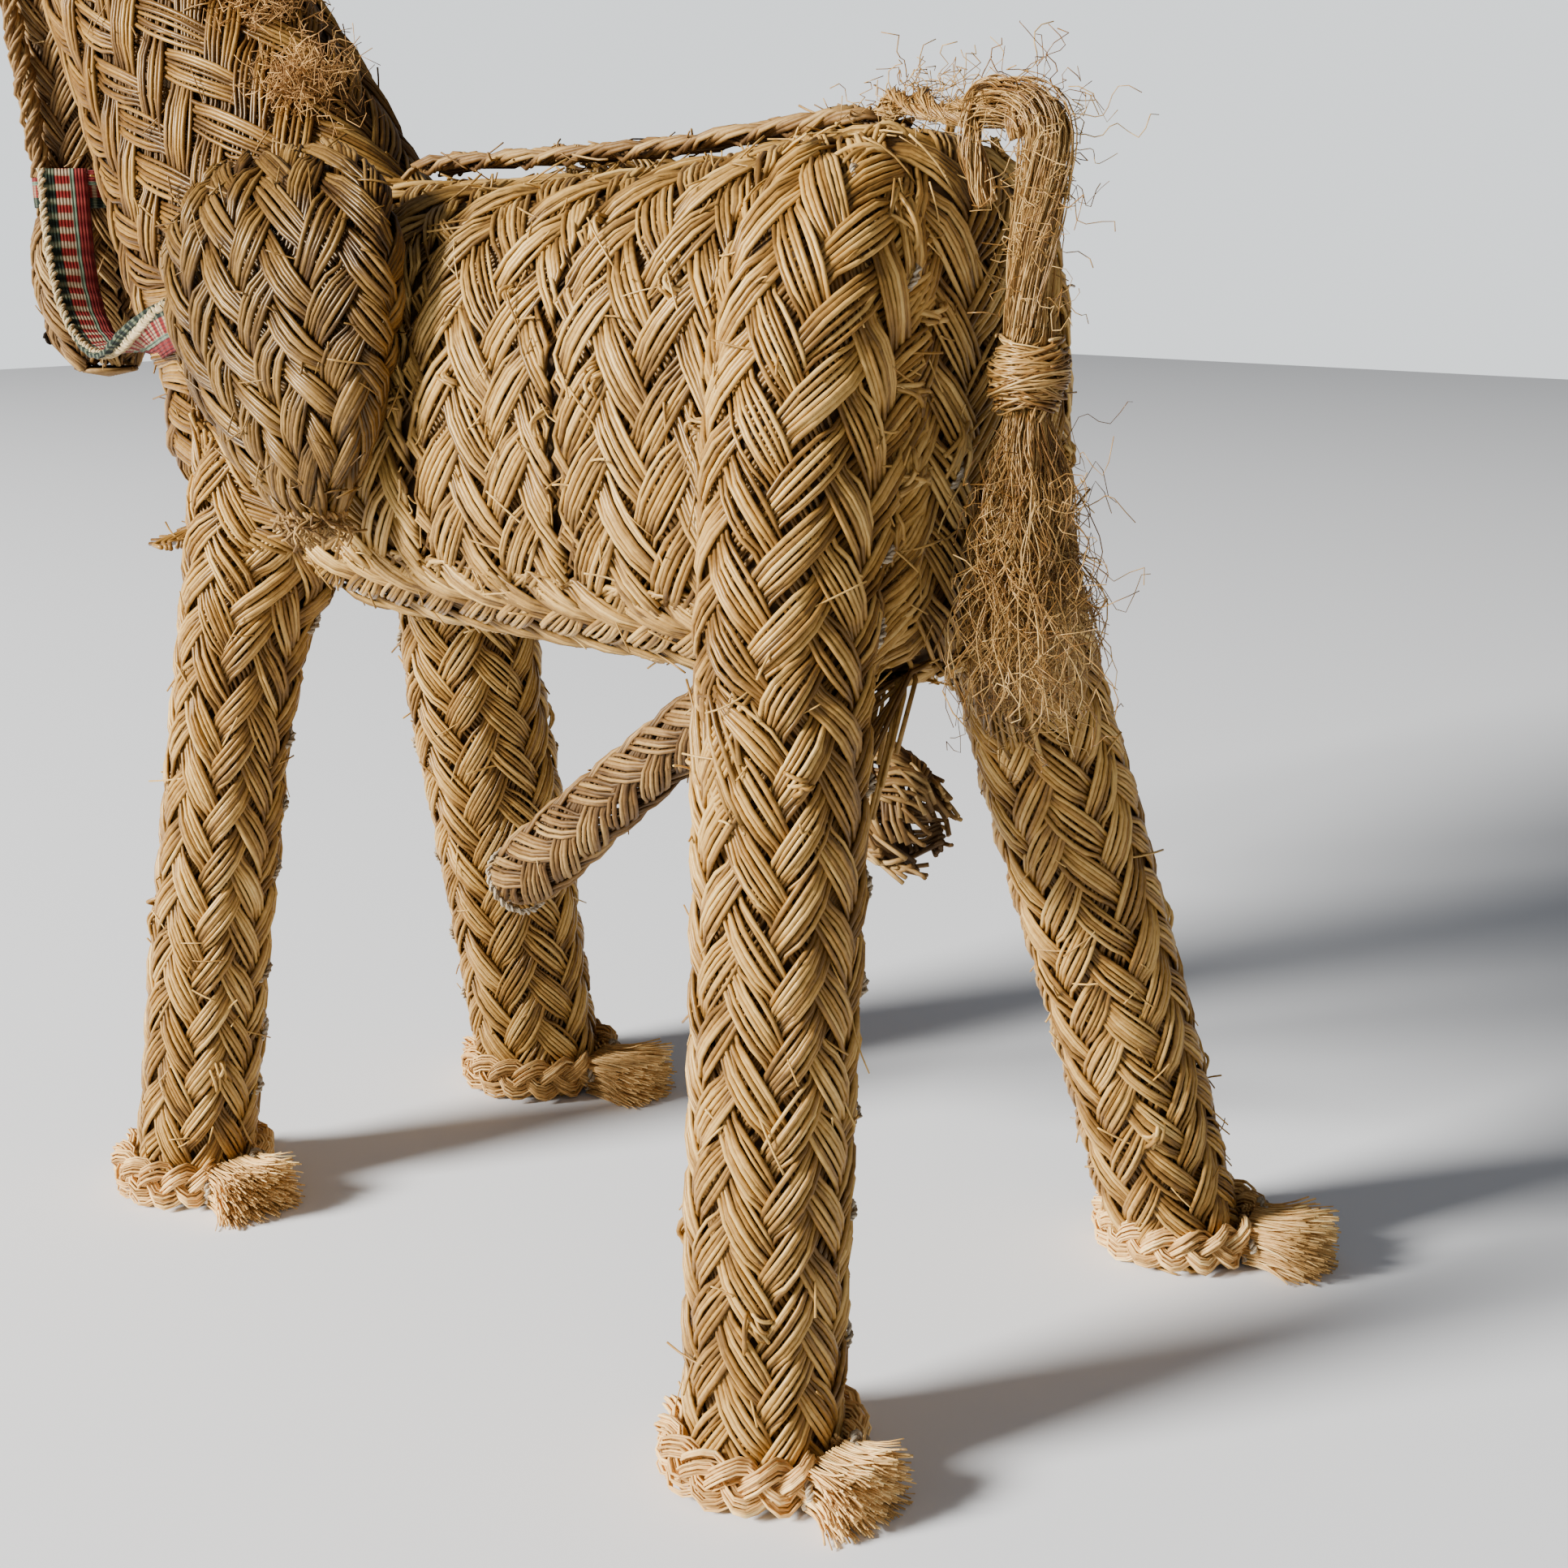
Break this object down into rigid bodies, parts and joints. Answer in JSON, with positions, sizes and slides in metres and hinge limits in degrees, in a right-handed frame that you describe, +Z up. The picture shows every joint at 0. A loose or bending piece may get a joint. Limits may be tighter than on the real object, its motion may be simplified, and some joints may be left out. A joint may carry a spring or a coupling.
{
  "type": "plaited grass donkey figure",
  "caption": "Standing donkey figure sewn from flat grass plaits over straw filling, with shoulder pads, banded hooves, striped reins and a loose fibre tail that swings and lifts.",
  "frame": {"origin": "on the ground under the middle of the whole figure's box", "axes": "+Z up, nose towards -Y, tail towards +Y, the animal's left towards +X"},
  "size_m": [0.1904, 0.4006, 0.432],
  "materials": {
    "straw_filling": "packed dry straw, dull",
    "leg_plait": "round grass stems in flat bundles, slightly waxy",
    "body_plait": "round grass stems in flat bundles, slightly waxy",
    "neck_plait": "flat grass bundles, slightly waxy",
    "brown_plait": "darker grass plait, dull",
    "pad_plait": "round grass stems in flat bundles, slightly waxy",
    "hoof_plait": "fine split grass, dry and matt",
    "striped_wool": "woven red and cream wool strap with a cream corded edge",
    "dark_wool": "knotted dark wool",
    "coir": "wiry brown fibre",
    "white_thread": "waxed cotton thread",
    "golden_fibre": "combed golden fibre with a soft sheen"
  },
  "bodies": {
    "animal": {"barrel_core": "straw_filling", "neck_core": "straw_filling", "head_core": "straw_filling", "left_hind_core": "straw_filling", "right_hind_core": "straw_filling", "left_front_core": "straw_filling", "right_front_core": "straw_filling", "left_hind_plait": "leg_plait", "right_hind_plait": "leg_plait", "left_front_plait": "leg_plait", "right_front_plait": "leg_plait", "rump_plait": "body_plait", "girth_plait_1": "body_plait", "girth_plait_2": "body_plait", "girth_plait_3": "body_plait", "belly_plait": "body_plait", "neck_plait": "neck_plait", "head_plait": "neck_plait", "spine_plait": "brown_plait", "left_ear": "neck_plait", "right_ear": "neck_plait", "left_eye": "dark_wool", "right_eye": "dark_wool", "left_shoulder_pad": "pad_plait", "right_shoulder_pad": "pad_plait", "left_hind_hoof": "hoof_plait", "right_hind_hoof": "hoof_plait", "left_front_hoof": "hoof_plait", "right_front_hoof": "hoof_plait", "sheath_plait": "brown_plait", "pouch_plait": "brown_plait", "noseband": "striped_wool", "left_rein": "striped_wool", "right_rein": "striped_wool", "left_cheek_rope": "brown_plait", "right_cheek_rope": "brown_plait", "mane": "coir", "seam_threads": "white_thread", "tail_root": "golden_fibre"},
    "tail_arch": {"tail_loop": "golden_fibre"},
    "tail": {"tail_hank": "golden_fibre", "tail_knot": "golden_fibre", "tail_tassel": "golden_fibre"}
  },
  "joints": [
    {"name": "tail_swing", "type": "hinge", "parent": "animal", "child": "tail_arch", "pos_m": [0.02525, 0.15758, 0.2705], "axis": [0, 1, 0], "range_deg": [-25, 25]},
    {"name": "tail_lift", "type": "hinge", "parent": "tail_arch", "child": "tail", "pos_m": [0.02525, 0.17868, 0.2669], "axis": [1, 0, 0], "range_deg": [0, 55]}
  ]
}
